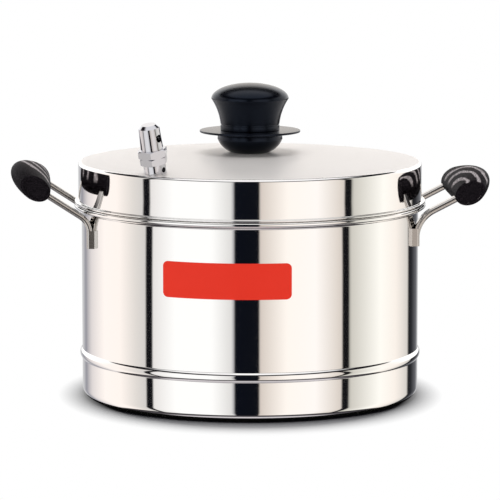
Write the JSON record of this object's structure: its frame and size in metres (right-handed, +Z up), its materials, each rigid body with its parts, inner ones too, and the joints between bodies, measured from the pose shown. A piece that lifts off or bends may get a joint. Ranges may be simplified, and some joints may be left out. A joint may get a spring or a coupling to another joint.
{
  "type": "idli steamer",
  "caption": "Stainless steel steamer pot with a deep domed lid, oval side grips, a steam whistle and a lift-out rack of dished plates on a central rod.",
  "frame": {"origin": "middle of the flat underside of the pot, where it stands on the stove", "axes": "+Z up along the pot's axis, +X from the left grip to the right grip, -Y the front, the side where the whistle stands"},
  "size_m": [0.3409, 0.2506, 0.2233],
  "materials": {
    "polished_steel": "stainless steel sheet, mirror polished on the walls and satin on the dome",
    "arm_steel": "formed stainless strip, polished",
    "rack_steel": "turned and bent stainless steel, bright",
    "plate_steel": "pressed stainless sheet, satin",
    "fastener_steel": "zinc plated steel",
    "plated_brass": "turned brass, chrome plated",
    "brass": "turned brass",
    "black_bakelite": "moulded black phenolic, glossy",
    "grip_bakelite": "moulded black-brown phenolic, glossy",
    "rubber": "moulded rubber washer"
  },
  "bodies": {
    "pot": {"pot_body": "polished_steel", "left_front_arm": "arm_steel", "left_back_arm": "arm_steel", "left_grip": "grip_bakelite", "left_grip_screws": "fastener_steel", "right_front_arm": "arm_steel", "right_back_arm": "arm_steel", "right_grip": "grip_bakelite", "right_grip_screws": "fastener_steel"},
    "lid": {"lid_shell": "polished_steel", "knob_collar": "black_bakelite", "knob_disc": "black_bakelite", "knob": "black_bakelite", "knob_insert": "brass", "knob_screw": "fastener_steel", "knob_washer": "fastener_steel", "vent_stem": "plated_brass", "vent_gasket": "rubber", "vent_nut": "plated_brass"},
    "whistle": {"whistle_head": "plated_brass"},
    "rack": {"rack_stand": "rack_steel", "rack_rod": "rack_steel", "rack_spacer_1": "rack_steel", "rack_spacer_2": "rack_steel", "rack_spacer_3": "rack_steel"},
    "plate_1": {"idli_plate_1": "plate_steel"},
    "plate_2": {"idli_plate_2": "plate_steel"},
    "plate_3": {"idli_plate_3": "plate_steel"},
    "nut": {"rack_nut": "rack_steel"}
  },
  "joints": [
    {"name": "lid_lift", "type": "slide", "parent": "pot", "child": "lid", "axis": [0, 0, 1], "range_m": [0, 0.3]},
    {"name": "rack_lift", "type": "slide", "parent": "pot", "child": "rack", "axis": [0, 0, 1], "range_m": [0, 0.15]},
    {"name": "whistle_pull", "type": "slide", "parent": "lid", "child": "whistle", "axis": [-0.1419, -0.1746, 0.9744], "range_m": [0, 0.014]},
    {"name": "plate_1_turn", "type": "hinge", "parent": "rack", "child": "plate_1", "pos_m": [0, 0, 0.0441], "axis": [0, 0, 1], "continuous": true},
    {"name": "plate_2_turn", "type": "hinge", "parent": "rack", "child": "plate_2", "pos_m": [0, 0, 0.08345], "axis": [0, 0, 1], "continuous": true},
    {"name": "plate_3_turn", "type": "hinge", "parent": "rack", "child": "plate_3", "pos_m": [0, 0, 0.1228], "axis": [0, 0, 1], "continuous": true},
    {"name": "nut_turn", "type": "hinge", "parent": "rack", "child": "nut", "pos_m": [0, 0, 0.13], "axis": [0, 0, 1], "continuous": true}
  ],
  "couplings": [
    {"joint": "rack_lift", "follows": "lid_lift", "ratio": 0.5}
  ]
}
